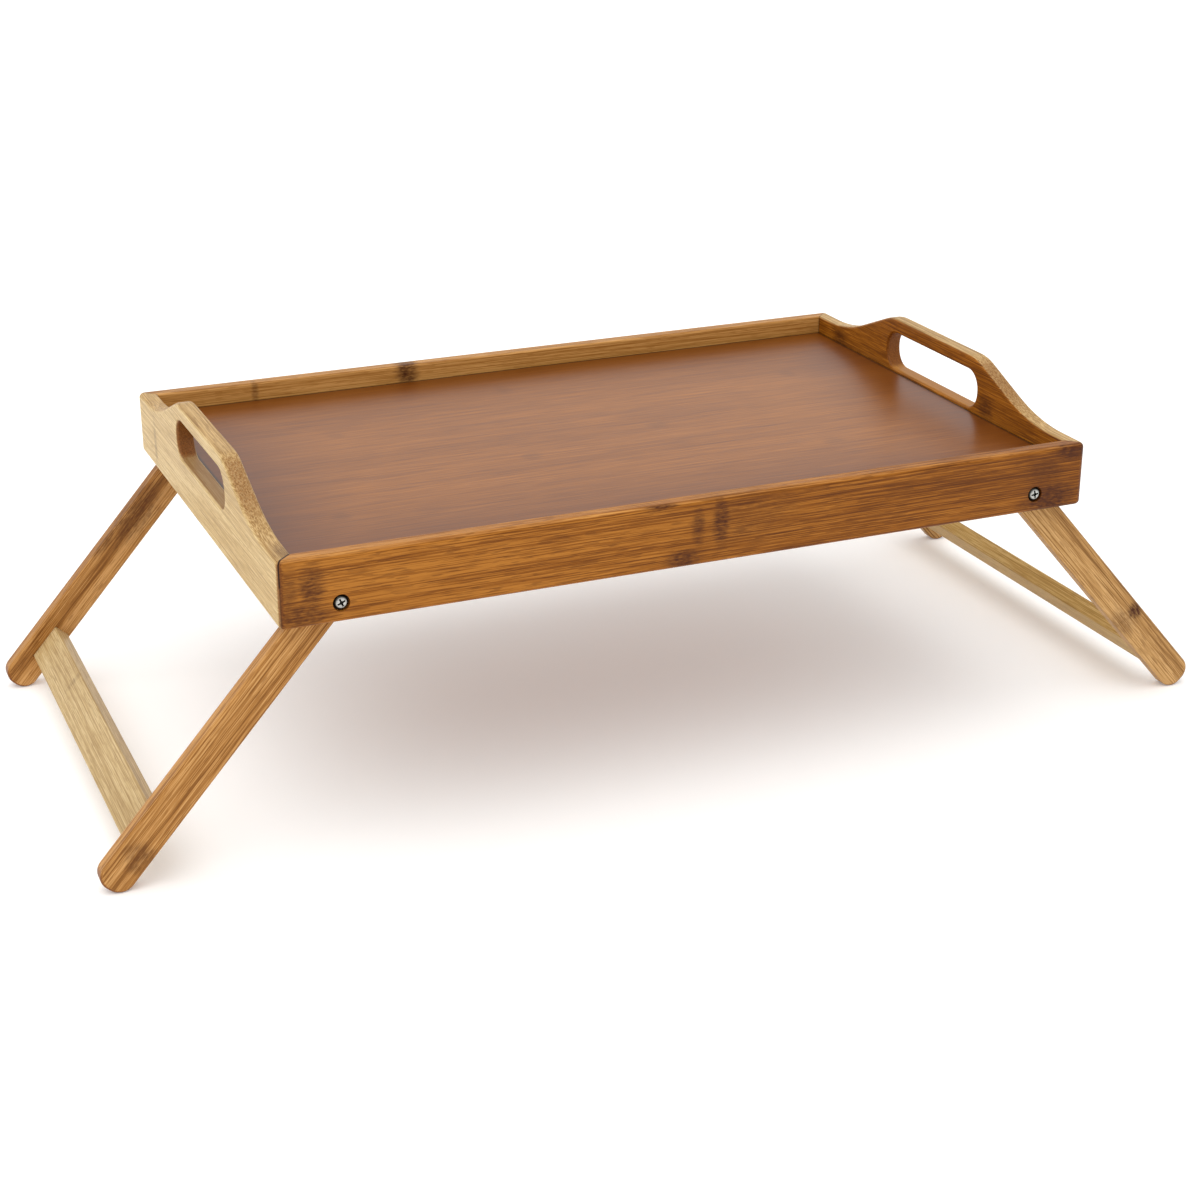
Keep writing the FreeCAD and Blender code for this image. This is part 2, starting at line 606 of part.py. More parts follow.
def pivot_screw(label):
    """Round-head screw with a cross slot; the leg turns on its shank."""
    body = new_body(label)
    seat, rim, height = (number(f"dims.{name}") for name in ("recess_depth", "head_rim", "head_height"))
    head, shank = number("dims.head_diameter / 2"), number("dims.screw_diameter / 2")
    tip = number(SCREW_TIP)
    dome = height - rim
    dome_radius = (head**2 + dome**2) / (2 * dome)
    spread = math.degrees(math.asin(head / dome_radius))

    half = new_sketch(body, "XY_Plane")
    crown = arc(half, (0, seat - height + dome_radius), dome_radius, 270, 270 + spread)
    edge = line(half, (head, seat - rim), (head, seat))
    under = line(half, (head, seat), (shank, seat))
    side = line(half, (shank, seat), (shank, tip))
    end = line(half, (shank, tip), (0, tip))
    axis = line(half, (0, tip), (0, seat - height))
    chain = [crown, edge, under, side, end, axis]
    for first, second in zip(chain, chain[1:] + chain[:1]):
        relate(half, "Coincident", first, END, second, START)
    for upright in (edge, side, axis):
        relate(half, "Vertical", upright)
    for level in (under, end):
        relate(half, "Horizontal", level)
    relate(half, "PointOnObject", axis, START, Y_AXIS)
    relate(half, "PointOnObject", crown, CENTRE, Y_AXIS)
    dimension(half, "DistanceX", X_AXIS, START, edge, END, size="dims.head_diameter / 2")
    dimension(half, "DistanceX", X_AXIS, START, side, START, size="dims.screw_diameter / 2")
    dimension(half, "DistanceY", edge, START, edge, END, size="dims.head_rim")
    dimension(half, "DistanceY", axis, END, edge, END, size="dims.head_height")
    dimension(half, "DistanceY", X_AXIS, START, under, START, size="dims.recess_depth")
    dimension(half, "DistanceY", X_AXIS, START, side, END, size=SCREW_TIP)
    solve(half)
    turned = body.newObject("PartDesign::Revolution", f"{label}_turned")
    turned.Profile = half
    turned.ReferenceAxis = (half, ["V_Axis"])
    turned.Angle = 360
    doc.recompute()

    arm, width = "dims.cross_length / 2", "dims.cross_width / 2"
    for reach, breadth in ((arm, width), (width, arm)):
        slot = new_sketch(body, "XZ_Plane", lift="dims.head_height - dims.recess_depth")
        rectangle(slot, f"-{reach}", f"-{breadth}", reach, breadth)
        pocket(body, slot, depth="dims.cross_depth")
    return body


def ring(label, kind, start):
    """Washer of one kind on the pivot's axis, from a distance inside the rail's outer face."""
    body = new_body(label)
    section = new_sketch(body, "XZ_Plane", lift=f"-({start})")
    circle_at(section, "0", "0", f"{kind}_diameter / 2")
    circle_at(section, "0", "0", "dims.screw_diameter / 2 + dims.washer_fit")
    pad(body, section, f"{kind}_thickness", reverse=True)
    return body


def lock_nut(label):
    """Hexagon nut with a round locking collar, bored for the screw."""
    upright = FreeCAD.Rotation(FreeCAD.Vector(1, 0, 0), -90)
    pieces = []
    for kind, suffix, start in (
        ("Part::Prism", "hexagon", NUT_SEAT),
        ("Part::Cylinder", "collar", f"({NUT_SEAT} + dims.nut_height)"),
        ("Part::Cylinder", "bore", NUT_SEAT),
    ):
        piece = doc.addObject(kind, f"{label}_{suffix}")
        piece.Placement.Rotation = upright
        piece.setExpression("Placement.Base.y", start)
        pieces.append(piece)
    hexagon, collar, bore = pieces
    hexagon.Polygon = 6
    hexagon.setExpression("Circumradius", "dims.nut_flats / 2 / cos(30 deg)")
    hexagon.setExpression("Height", "dims.nut_height")
    collar.setExpression("Radius", "dims.collar_diameter / 2")
    collar.setExpression("Height", "dims.collar_height")
    bore.setExpression("Radius", "dims.screw_diameter / 2 + dims.nut_fit")
    bore.setExpression("Height", "dims.nut_height + dims.collar_height")
    blank = doc.addObject("Part::Fuse", f"{label}_blank")
    blank.Base, blank.Tool = hexagon, collar
    nut = doc.addObject("Part::Cut", label)
    nut.Label = label
    nut.Base, nut.Tool = blank, bore
    return nut


# ---------------------------------------------------------------- assembly


def place(piece, x, y, z, axis=(0, 0, 1), turn=None):
    """Bind a sub-part's place, and its turn about one axis, to the sheet."""
    if turn:
        piece.Placement.Rotation = FreeCAD.Rotation(FreeCAD.Vector(*axis), number(turn))
        piece.setExpression("Placement.Rotation.Angle", turn)
    for name, expression in zip("xyz", (x, y, z)):
        piece.setExpression(f"Placement.Base.{name}", expression)
    return piece


def build_tray():
    """Boards, floor and tongues, with the inside of each board towards the middle."""
    half_length, half_depth = "dims.tray_length / 2", "dims.tray_depth / 2"
    floor = floor_panel("tray_panel")
    parts = [
        place(rail("front_rail"), "0", f"-{half_depth}", TRAY_BASE),
        place(rail("back_rail"), "0", half_depth, TRAY_BASE, turn="180 deg"),
        place(end_board("left_end_board"), f"-{half_length}", "0", TRAY_BASE, turn="-90 deg"),
        place(end_board("right_end_board"), half_length, "0", TRAY_BASE, turn="90 deg"),
        place(floor, "0", "0", f"{TRAY_BASE} + {PANEL_UNDERSIDE}"),
    ]
    offset = "(dims.spline_width / 2) * cos(45 deg)"
    lateral = "(dims.spline_thickness / 2) * cos(45 deg)"
    base = f"{TRAY_BASE} + dims.spline_base"
    for end, x_sign in (("left", -1), ("right", 1)):
        for face, y_sign in (("front", -1), ("back", 1)):
            # A tongue crosses its mitre, so it lies along the diagonal that the mitre cuts.
            lean = -x_sign * y_sign
            corner_x = f"{x_sign} * ({half_length} - {SPLINE_INSET})"
            corner_y = f"{y_sign} * ({half_depth} - {SPLINE_INSET})"
            parts.append(
                place(
                    mitre_spline(f"corner_spline_{end}_{face}"),
                    f"{corner_x} - {offset} + {lean} * {lateral}",
                    f"{corner_y} - {lean} * {offset} - {lateral}",
                    base,
                    turn=f"{lean} * 45 deg",
                )
            )
    return parts


def build_leg_frames():
    """Two frames of two legs and a stretcher, each splayed outwards on its pivots."""
    parts = []
    for end, outward in (("left", -1), ("right", 1)):
        pivot_x = f"{outward} * {PIVOT_X}"
        pivot_z = f"{TRAY_BASE} + {PIVOT_RISE}"
        turn = f"{-outward} * {LEG_ANGLE}"
        for face, y_sign in (("front", -1), ("back", 1)):
            one = leg(f"{end}_{face}_leg", outward, -y_sign)
            parts.append(place(one, pivot_x, f"{y_sign} * {LEG_Y}", pivot_z, (0, 1, 0), turn))
        bar = stretcher(f"{end}_stretcher", outward)
        parts.append(place(bar, pivot_x, "0", pivot_z, (0, 1, 0), turn))
    return parts


def build_pivots():
    """A screw, a spacer, a washer and a lock nut at each of the four pivots."""
    parts = []
    for end, x_sign in (("left", -1), ("right", 1)):
        for face, y_sign in (("front", -1), ("back", 1)):
            where = f"{end}_{face}"
            hardware = (
                pivot_screw(f"pivot_screw_{where}"),
                ring(f"pivot_spacer_{where}", "dims.spacer", "dims.rail_thickness"),
                ring(f"pivot_washer_{where}", "dims.washer", LEG_INNER),
                lock_nut(f"lock_nut_{where}"),
            )
            for piece in hardware:
                turn = "180 deg" if y_sign > 0 else None
                x, y = f"{x_sign} * {PIVOT_X}", f"{y_sign} * dims.tray_depth / 2"
                parts.append(place(piece, x, y, f"{TRAY_BASE} + {PIVOT_RISE}", turn=turn))
    return parts


def check_and_write(parts):
    """Stop on any failed feature or bad shape, then write one STEP file per sub-part."""
    doc.recompute()
    for item in doc.Objects:
        if "Invalid" in item.State or "Error" in item.State:
            raise RuntimeError(f"{item.Label} failed: {item.State}")
    for part in parts:
        if part.Shape.isNull() or not part.Shape.isValid() or len(part.Shape.Solids) != 1:
            raise RuntimeError(f"{part.Label} isn't one valid solid")
    os.makedirs("parts", exist_ok=True)
    for part in parts:
        part.Shape.exportStep(f"parts/{part.Label}.step")


fill_sheet()
sub_parts = build_tray() + build_leg_frames() + build_pivots()
check_and_write(sub_parts)
print(f"{len(sub_parts)} sub-parts")
print(f"legs open {number(LEG_ANGLE):.2f} degrees, tray base {number(TRAY_BASE):.2f} mm up")
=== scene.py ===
"""Folding tray table in strip bamboo: finishes, pivot hardware, studio floor, light and camera."""
import math

import bmesh
import bpy
from mathutils import Euler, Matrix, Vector


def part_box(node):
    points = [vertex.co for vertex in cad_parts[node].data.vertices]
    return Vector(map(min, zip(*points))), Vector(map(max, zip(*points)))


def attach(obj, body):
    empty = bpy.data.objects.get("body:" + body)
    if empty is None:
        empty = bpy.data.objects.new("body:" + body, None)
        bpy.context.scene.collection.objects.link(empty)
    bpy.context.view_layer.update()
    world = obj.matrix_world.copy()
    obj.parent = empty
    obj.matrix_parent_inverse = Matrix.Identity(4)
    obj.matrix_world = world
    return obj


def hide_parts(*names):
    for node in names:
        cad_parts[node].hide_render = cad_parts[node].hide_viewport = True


MM = 0.001

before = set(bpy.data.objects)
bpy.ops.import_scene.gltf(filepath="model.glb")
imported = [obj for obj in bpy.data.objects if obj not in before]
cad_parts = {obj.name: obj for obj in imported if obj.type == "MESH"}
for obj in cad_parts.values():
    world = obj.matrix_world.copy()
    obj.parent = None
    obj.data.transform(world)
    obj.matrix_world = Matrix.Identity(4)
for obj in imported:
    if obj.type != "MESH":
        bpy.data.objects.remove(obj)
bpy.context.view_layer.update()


# ---------------------------------------------------------------- helpers


def linear(hex_colour):
    """Turn an sRGB hex colour to linear RGBA."""
    channels = [int(hex_colour[i : i + 2], 16) / 255 for i in (1, 3, 5)]
    return [c / 12.92 if c <= 0.04045 else ((c + 0.055) / 1.055) ** 2.4 for c in channels] + [1.0]


def add(tree, kind, inputs=(), stops=(), **settings):
    """Add a node with its settings and links.

    inputs gives each socket, in order, by number or by name, another node, a node's output or a plain
    value; a node stands for its first output in use. stops are a colour ramp's (position, hex colour).
    """
    node = tree.nodes.new(f"ShaderNode{kind}")
    for name, value in settings.items():
        setattr(node, name, value)
    for index, (position, colour) in enumerate(stops):
        elements = node.color_ramp.elements
        stop = elements[index] if index < len(elements) else elements.new(position)
        stop.position = position
        stop.color = linear(colour)
    if not isinstance(inputs, dict):
        inputs = dict(enumerate(inputs))
    for socket, value in inputs.items():
        if isinstance(value, bpy.types.Node):
            value = next(output for output in value.outputs if output.enabled)
        if isinstance(value, bpy.types.NodeSocket):
            tree.links.new(value, node.inputs[socket])
        else:
            node.inputs[socket].default_value = value
    return node


# Settings that repeat: a smooth change between two limits, a blend of colours, and value * factor + base.
SMOOTH = {"interpolation_type": "SMOOTHSTEP"}
COLOURS = {"data_type": "RGBA"}
SCALE_AND_ADD = {"operation": "MULTIPLY_ADD"}
# Sockets of a blend: how much of the second, then the two colours.
BLEND, FIRST, SECOND = 0, 6, 7


def new_material(name):
    """Start an empty material; give the material and its node tree."""
    material = bpy.data.materials.new(name)
    material.use_nodes = True
    material.node_tree.nodes.clear()
    return material, material.node_tree


def surface(tree, inputs, relief=None, depth=0.0):
    """End a material in one shader; relief is the height of its bump, and depth how deep it goes."""
    if relief is not None:
        normal = add(tree, "Bump", {"Height": relief, "Distance": depth, "Strength": 1.0})
        inputs = {**inputs, "Normal": normal}
    shader = add(tree, "BsdfPrincipled", inputs)
    add(tree, "OutputMaterial", {"Surface": shader})


def dress(node, material):
    """Give a carried-over CAD node its finish."""
    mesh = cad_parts[node].data
    mesh.materials.clear()
    mesh.materials.append(material)


def graded(tones):
    """Stops of a ramp from a dark tone over a middle one to a light one."""
    dark, middle, light = tones
    return (0.08, dark), (0.5, middle), (0.92, light)


# ---------------------------------------------------------------- bamboo

# Carbonised strip bamboo: dark fibre bundle, ground tissue, pale tissue. Steaming browns it unevenly,
# so every board keeps a tone of its own.
CARAMEL = ("#5b2e05", "#854c0c", "#ab6d26")
CHESTNUT = ("#683709", "#93560f", "#b77426")
HONEY = ("#7c4d1e", "#ab773c", "#cb9a5f")
OAT = ("#7b5328", "#ab7f48", "#c99f68")
STRAW = ("#a6844f", "#c5a56d", "#dac08c")
AMBER = ("#986428", "#b68242", "#cd9857")
GINGER = ("#6b3c0e", "#a0652a", "#c28844")
FLAX = ("#98794b", "#b59867", "#ccb386")
REED = ("#957139", "#b48f50", "#caaa6e")
WHEAT = ("#856236", "#b08c56", "#ccab78")
RED_BROWN = ("#6c3905", "#8a500e", "#a3641f")

END_GRAIN_DARK, END_GRAIN_LIGHT = "#63320a", "#824a1a"
NODE_STAIN = "#47210a"
BOARD_PAINTED_SHADE = "#552503"
GLUE_LINE = "#2c1606"
BORE_SHADE = "#2a1708"
CORNER_PAINTED_SHADE = "#2a1305"

panel_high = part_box("tray_panel")[1]
PANEL_END, PANEL_SIDE, PANEL_TOP = panel_high
BOARD_END, BOARD_SIDE = -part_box("left_end_board")[1][0], -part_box("front_rail")[1][1]
# The heights between which a board's top edge starts.
EDGE_FROM, EDGE_FULL = PANEL_TOP + 6 * MM, PANEL_TOP + 10 * MM
# The hand hole: half its length, the heights between which it lies, and how strongly light and shade are
# painted on its wall.
GRIP_END = 56.5 * MM
GRIP_BOTTOM = PANEL_TOP - 1 * MM
GRIP_TOP = PANEL_TOP + 26.6 * MM
HOLE_LIGHT_AND_SHADE_STRENGTH = 0.6

pivot_low, pivot_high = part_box("pivot_screw_right_front")
PIVOT = Vector(((pivot_low[0] + pivot_high[0]) / 2, 0, (pivot_low[2] + pivot_high[2]) / 2))
BORE_RADIUS, BORE_SHADE_RADIUS = 4.8 * MM, 4.45 * MM
# On a mitre, the distance from the middle along X is this much more than along Y.
MITRE_OFFSET = 86.5 * MM
# Distances at which darkness starts and is full: from the mitre, and from the corner where it opens.
GLUE_SPREAD = (0.9 * MM, 0.2 * MM)
GAP_SPREAD = (1.0 * MM, 0.4 * MM)
GAP_REACH = (17 * MM, 14 * MM)
OPEN_CORNER = (-0.250, -0.1635, 0.1818)

SPLAY = 41.41
ALONG_X = (0.0, 0.0, 0.0)
ALONG_Y = (0.0, 0.0, math.radians(90))
ALONG_LEFT_LEG = (0.0, math.radians(90 - SPLAY), 0.0)
ALONG_RIGHT_LEG = (0.0, math.radians(SPLAY - 90), 0.0)
# A leg is glued up of two strips, whose joint runs through its pivot; this is its height across the grain.
LEFT_JOINT = (Euler(ALONG_LEFT_LEG).to_matrix() @ Vector((-PIVOT.x, 0, PIVOT.z))).z
RIGHT_JOINT = (Euler(ALONG_RIGHT_LEG).to_matrix() @ PIVOT).z

# Half the width over which one strip's tone gives way to the other's.
STRIP_FADE = 0.3 * MM

# Where a node mark starts and is full, in its own half sizes.
MARK_FADE = (1.35, 0.35)
# The fibres of a thinly lacquered board stand this proud.
FIBRE_RELIEF = 0.05 * MM

SEED_STEP = (7.31, 3.17, 5.71)


def grain_direction(tree, turn):
    """The piece's own coordinates, and the same turned so that the fibres run along X."""
    place = add(tree, "TexCoord")
    return place, add(tree, "Mapping", {"Vector": place.outputs["Object"], "Rotation": turn})


def streaks(tree, grain, length, width, seed, detail=2.0):
    """Noise drawn out along the fibres; length and width are the size of one streak in millimetres."""
    stretch = add(
        tree,
        "Mapping",
        {
            "Vector": grain,
            "Location": [seed * step for step in SEED_STEP],
            "Scale": (1 / (length * MM), 1 / (width * MM), 1 / (width * MM)),
        },
    )
    return add(tree, "TexNoise", {"Vector": stretch, "Scale": 1.0, "Detail": detail, "Roughness": 0.55})


def toned(tree, layers):
    """Tone about a half: each layer of noise moves it up and down by its share."""
    tone = 0.5 - sum(share for _, share in layers) / 2
    for layer, share in layers:
        tone = add(tree, "Math", (layer, share, tone), **SCALE_AND_ADD)
    return tone


def flecked(tree, tone, fleck, tones):
    """Colour of a tone, with dark flecks where the pores are cut open."""
    ground = add(tree, "ValToRGB", (tone,), graded(tones))
    return add(tree, "Mix", {BLEND: fleck, FIRST: ground, SECOND: linear(tones[0])}, **COLOURS)


def node_marks(tree, grain, turn, marks, ragged):
    """Darkening where the culm's nodes cross a strip.

    A mark is its middle (x, y, z), its half sizes along and across the fibres, and its strength.
    """
    total = 0.0
    rotation = Euler(turn).to_matrix()
    for middle, along, across, strength in marks:
        centre = rotation @ (Vector(middle) * MM)
        scale = Vector((1 / (along * MM), 1 / (across * MM), 1 / (across * MM)))
        shift = Vector(-a * b for a, b in zip(centre, scale))
        unit = add(tree, "Mapping", {"Vector": grain, "Scale": scale, "Location": shift})
        distance = add(tree, "VectorMath", (unit,), operation="LENGTH")
        wobble = add(tree, "Math", (distance, ragged), operation="ADD")
        mark = add(tree, "MapRange", (wobble, *MARK_FADE, 0.0, strength), **SMOOTH)
        total = add(tree, "Math", (mark, total), operation="MAXIMUM")
    return total


def end_grain(tree, place, turn):
    """How squarely a surface is cut across the fibres, from 0 to 1."""
    fibre_axis = Euler(turn).to_matrix()[0]
    facing = add(tree, "VectorMath", (place.outputs["Normal"], fibre_axis), operation="DOT_PRODUCT")
    return add(tree, "Math", (facing,), operation="ABSOLUTE")


def pivot_bore(tree, place):
    """1 inside the round recess of a pivot screw, where its shade is painted; 0 outside."""
    folded = add(tree, "VectorMath", (place.outputs["Object"],), operation="ABSOLUTE")
    flat = add(tree, "VectorMath", (folded, (1, 0, 1)), operation="MULTIPLY")
    distance = add(tree, "VectorMath", (flat, PIVOT), operation="DISTANCE")
    return add(tree, "MapRange", (distance, BORE_RADIUS, BORE_SHADE_RADIUS), **SMOOTH)


def mitre_line(tree, place):
    """Dark line where two boards meet at 45 degrees, open at the top of the front left corner."""
    folded = add(tree, "VectorMath", (place.outputs["Object"],), operation="ABSOLUTE")
    sides = add(tree, "SeparateXYZ", (folded,)).outputs
    past = add(tree, "Math", (sides[0], sides[1]), operation="SUBTRACT")
    past = add(tree, "Math", (past, MITRE_OFFSET), operation="SUBTRACT")
    past = add(tree, "Math", (past,), operation="ABSOLUTE")
    glue = add(tree, "MapRange", (past, *GLUE_SPREAD, 0.0, 0.45), **SMOOTH)
    to_corner = add(tree, "VectorMath", (place.outputs["Object"], OPEN_CORNER), operation="DISTANCE")
    opened = add(tree, "MapRange", (to_corner, *GAP_REACH), **SMOOTH)
    gap = add(tree, "MapRange", (past, *GAP_SPREAD), **SMOOTH)
    gap = add(tree, "Math", (gap, opened), operation="MULTIPLY")
    return add(tree, "Math", (glue, gap), operation="MAXIMUM")


def hole_wall_light_and_shade(tree, place):
    """How much a point takes the light and shade painted on a hand hole's wall: 0 on the faces of the
    board.
    """
    where = add(tree, "SeparateXYZ", (place.outputs["Object"],)).outputs
    facing = add(tree, "SeparateXYZ", (place.outputs["Normal"],)).outputs
    aside = add(tree, "Math", (facing[0],), operation="ABSOLUTE")
    from_middle = add(tree, "Math", (where[1],), operation="ABSOLUTE")
    limits = (
        (aside, 0.85, 0.35),
        (from_middle, GRIP_END + 1 * MM, GRIP_END),
        (where[2], GRIP_TOP + 1 * MM, GRIP_TOP),
        (where[2], GRIP_BOTTOM, GRIP_BOTTOM + 1 * MM),
    )
    wall = HOLE_LIGHT_AND_SHADE_STRENGTH
    for limit in limits:
        within = add(tree, "MapRange", limit, **SMOOTH)
        wall = add(tree, "Math", (within, wall), operation="MULTIPLY")
    return wall


def top_edge_painted_light(tree, place):
    """1 on the upward edge of a board, where light and shade from above are painted; 0 on its faces and in
    its hand hole.
    """
    where = add(tree, "SeparateXYZ", (place.outputs["Object"],)).outputs
    facing = add(tree, "SeparateXYZ", (place.outputs["Normal"],)).outputs
    above_grip = add(tree, "MapRange", (where[2], EDGE_FROM, EDGE_FULL), **SMOOTH)
    upwards = add(tree, "MapRange", (facing[2], 0.45, 0.8), **SMOOTH)
    return add(tree, "Math", (upwards, above_grip), operation="MULTIPLY")


def bamboo(
    name,
    tones,
    turn,
    seed,
    marks=(),
    halves=None,
    board=False,
    drift=0.0,
    edge=None,
    hole_light_and_shade=None,
    rough=0.42,
):
    """Strip bamboo, planed, sanded and lacquered thin.

    Long fibre bundles draw fine dark lines, each glued strip has a tone of its own, and where a
    node of the culm crosses, the fibres knot into a dark mottled band. The thin lacquer leaves a
    satin sheen that breaks up along the fibres.

    halves gives the two strips of a leg: the height of their joint across the grain, and the tone
    of the lower and the upper one. board adds a rail's mitres and the painted shade of its screw
    recesses. drift is painted light falloff: how much lighter it grows along its fibres, in tone
    for each millimetre. edge gives the tones of its top edge, light and shade painted from above,
    and the hand hole's colour is the light and shade painted on its wall.
    """
    material, tree = new_material(name)
    place, grain = grain_direction(tree, turn)
    cloud = streaks(tree, grain, 300, 13, seed)
    band = streaks(tree, grain, 260, 3.2, seed + 1)
    # Fibre bundles are 0.3 to 0.6 mm wide; they are drawn about 0.7 mm wide to show.
    fibre = streaks(tree, grain, 90, 0.7, seed + 2)
    bundle = add(tree, "MapRange", (fibre, 0.36, 0.60), **SMOOTH)
    hair = streaks(tree, grain, 28, 0.5, seed + 3)
    pore = streaks(tree, grain, 9, 0.7, seed + 4, detail=0.0)

    tone = toned(tree, ((cloud, 0.5), (band, 0.3), (bundle, 0.45), (hair, 1.5)))
    along_fibres, _, over_fibres = add(tree, "SeparateXYZ", (grain,)).outputs
    # Painted light: the tone drifts along the fibres as the light falls off.
    if drift:
        tone = add(tree, "Math", (along_fibres, drift / MM, tone), **SCALE_AND_ADD)
    if halves:
        joint, lower, upper = halves
        limits = (over_fibres, joint - STRIP_FADE, joint + STRIP_FADE, lower, upper)
        strip = add(tree, "MapRange", limits, **SMOOTH)
        tone = add(tree, "Math", (tone, strip), operation="ADD")
    fleck = add(tree, "MapRange", (pore, 0.58, 0.70, 0.0, 0.45), **SMOOTH)
    colour = flecked(tree, tone, fleck, tones)
    # The top edge takes tones of its own: painted light and shade from above.
    if edge:
        sockets = {BLEND: top_edge_painted_light(tree, place), FIRST: colour, SECOND: flecked(tree, tone, fleck, edge)}
        colour = add(tree, "Mix", sockets, **COLOURS)
    # Painted light and shade on the hand hole's wall: dark in the left board's hole, light in the right's.
    if hole_light_and_shade:
        sockets = {BLEND: hole_wall_light_and_shade(tree, place), FIRST: colour, SECOND: linear(hole_light_and_shade)}
        colour = add(tree, "Mix", sockets, **COLOURS)

    # Cut across the fibres, their open ends drink in more stain and lacquer.
    soaked = add(tree, "MapRange", (end_grain(tree, place, turn), 0.12, 0.6, 0.0, 0.85), **SMOOTH)
    grit = add(tree, "MapRange", (streaks(tree, grain, 2.5, 0.8, seed + 7), 0.35, 0.65), **SMOOTH)
    sockets = {BLEND: grit, FIRST: linear(END_GRAIN_DARK), SECOND: linear(END_GRAIN_LIGHT)}
    ends = add(tree, "Mix", sockets, **COLOURS)
    colour = add(tree, "Mix", {BLEND: soaked, FIRST: colour, SECOND: ends}, **COLOURS)
    if marks:
        mottle = streaks(tree, grain, 3.4, 1.1, seed + 5, detail=3.0)
        mottle = add(tree, "Math", (mottle, 2.0, -0.1), **SCALE_AND_ADD)
        frayed = streaks(tree, grain, 14, 0.9, seed + 6)
        frayed = add(tree, "Math", (frayed, 1.5, -0.75), **SCALE_AND_ADD)
        stain = node_marks(tree, grain, turn, marks, frayed)
        patchy = add(tree, "Math", (stain, mottle), operation="MULTIPLY", use_clamp=True)
        colour = add(tree, "Mix", {BLEND: patchy, FIRST: colour, SECOND: linear(NODE_STAIN)}, **COLOURS)
    if board:
        # Dark glue lines in the mitres, and painted shade in the screw recesses.
        for part, shade in ((mitre_line(tree, place), GLUE_LINE), (pivot_bore(tree, place), BORE_SHADE)):
            colour = add(tree, "Mix", {BLEND: part, FIRST: colour, SECOND: linear(shade)}, **COLOURS)

    satin = add(tree, "Math", (fibre, 0.22, rough - 0.11), **SCALE_AND_ADD)
    relief = add(tree, "Math", (hair, 0.5), operation="MULTIPLY")
    relief = add(tree, "Math", (fibre, 0.8, relief), **SCALE_AND_ADD)
    surface(
        tree,
        {"Base Color": colour, "Roughness": satin, "IOR": 1.5, "Specular IOR Level": 0.15},
        relief,
        FIBRE_RELIEF,
    )
    return material


BOARDS = {
    "front_rail": {
        "tones": CARAMEL,
        "turn": ALONG_X,
        "seed": 3,
        "edge": GINGER,
        "drift": -0.0010,
        "marks": (
            ((7, -163.5, 167), 6, 14, 0.85),
            ((24, -163.5, 168), 32, 18, 0.3),
            ((-7, -163.5, 166), 4.5, 12, 0.65),
            ((-16, -163.5, 148), 12, 6, 0.8),
            ((-31, -163.5, 181.5), 12, 3, 0.8),
            ((-232, -163.5, 165), 8, 13, 0.75),
            ((-246, -163.5, 160), 9, 20, 0.5),
            ((-238, -163.5, 149), 18, 8, 0.7),
            ((222, -163.5, 168), 13, 8, 0.55),
            ((227, -163.5, 150), 19, 10, 0.95),
            ((241, -163.5, 178), 14, 6, 0.95),
        ),
    },
    "back_rail": {
        "tones": AMBER,
        "turn": ALONG_X,
        "seed": 11,
        "edge": HONEY,
        "marks": (
            ((-176, 153, 176), 2.4, 8, 0.5),
            ((-72, 153, 178), 8, 15, 0.85),
            ((105, 163.5, 160), 7, 8, 0.8),
        ),
    },
    "left_end_board": {
        "tones": STRAW,
        "turn": ALONG_Y,
        "seed": 19,
        "edge": WHEAT,
        "hole_light_and_shade": "#6b3608",
        "marks": (((-250, 120, 160), 4, 16, 0.35), ((-242, -150, 182), 12, 6, 0.5)),
    },
    "right_end_board": {
        "tones": CHESTNUT,
        "turn": ALONG_Y,
        "seed": 27,
        "edge": WHEAT,
        "hole_light_and_shade": "#b98340",
        "marks": (
            ((239.5, -68, 177), 9, 8, 0.65),
            ((239.5, 123, 174), 10, 8, 0.7),
            ((250, 20, 160), 5, 8, 0.8),
        ),
    },
}

LEGS = {
    "left_front_leg": {
        "tones": HONEY,
        "turn": ALONG_LEFT_LEG,
        "seed": 35,
        "halves": (LEFT_JOINT, -0.05, 0.05),
        "marks": (((-331, -151, 20), 8, 10, 0.5), ((-334, -151, 15), 5, 5, 0.5)),
    },
    "left_back_leg": {
        "tones": HONEY,
        "turn": ALONG_LEFT_LEG,
        "seed": 43,
        "halves": (LEFT_JOINT, 0.16, -0.16),
        "marks": (((-262, 140, 108), 26, 11, 0.6), ((-284, 140, 92), 14, 4, 0.6)),
    },
    "right_front_leg": {
        "tones": OAT,
        "turn": ALONG_RIGHT_LEG,
        "seed": 51,
        "halves": (RIGHT_JOINT, 0.06, -0.06),
        "marks": (((307, -151, 59), 6, 6, 1.0), ((299, -151, 52), 12, 10, 0.4)),
    },
    "right_back_leg": {
        "tones": OAT,
        "turn": ALONG_RIGHT_LEG,
        "seed": 59,
        "halves": (RIGHT_JOINT, -0.08, 0.08),
        "marks": (((262, 145, 106), 6, 9, 0.8),),
    },
}

STRETCHERS = {
    "left_stretcher": {
        "tones": FLAX,
        "turn": ALONG_Y,
        "seed": 67,
        "marks": (((-330, 60, 40), 4, 12, 0.4),),
    },
    "right_stretcher": {
        "tones": REED,
        "turn": ALONG_Y,
        "seed": 75,
        "marks": (((330, -70, 40), 4, 12, 0.4),),
    },
}

for node, finish in BOARDS.items():
    dress(node, bamboo(f"strip_bamboo_{node}", board=True, **finish))
for node, finish in {**LEGS, **STRETCHERS}.items():
    dress(node, bamboo(f"strip_bamboo_{node}", **finish))

